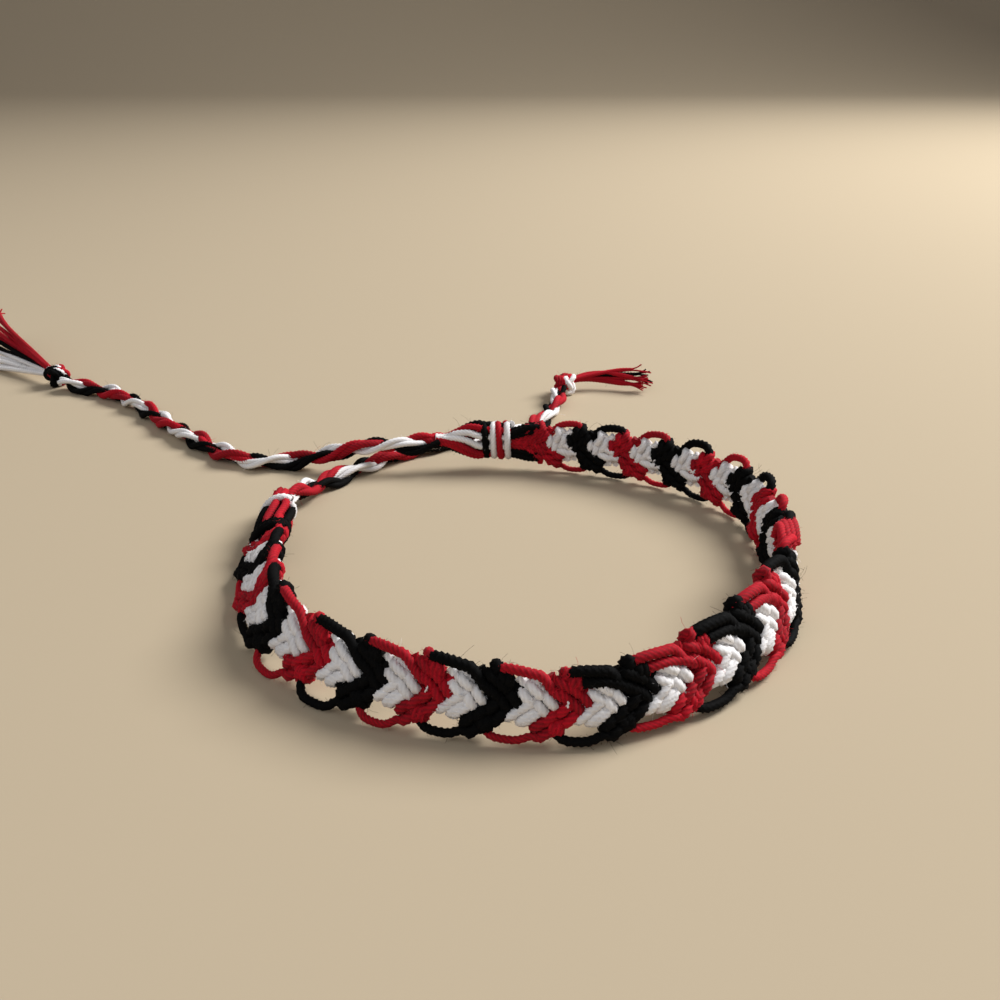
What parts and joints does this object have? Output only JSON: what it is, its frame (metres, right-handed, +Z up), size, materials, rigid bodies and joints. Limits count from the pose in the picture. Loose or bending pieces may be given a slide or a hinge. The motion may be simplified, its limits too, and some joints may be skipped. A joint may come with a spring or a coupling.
{
  "type": "knotted thread bracelet",
  "caption": "Flexible bracelet of knotted thread in bold chevrons, with looped edges, a knot at each end of the band, and plaited ties that end in small tassels.",
  "frame": {"origin": "on the surface that the bracelet lies on, under the middle of the round band with its two knots", "axes": "+Z up out of the surface, +X to the right and +Y away from the viewer of the picture, with the overlap of the two ties at the back left"},
  "size_m": [0.1354, 0.1213, 0.0079],
  "materials": {
    "band_thread": "knotted cotton thread in rows of red, white and black",
    "red_thread": "twisted cotton thread, deep red",
    "black_thread": "twisted cotton thread, black, slightly fuzzy",
    "white_thread": "twisted cotton thread, off-white"
  },
  "bodies": {
    "root": {"band": "band_thread", "start_knot": "white_thread", "end_knot": "red_thread", "long_tie": "red_thread", "long_tie_tassel": "black_thread", "short_tie": "red_thread", "short_tie_tassel": "red_thread"}
  },
  "joints": []
}
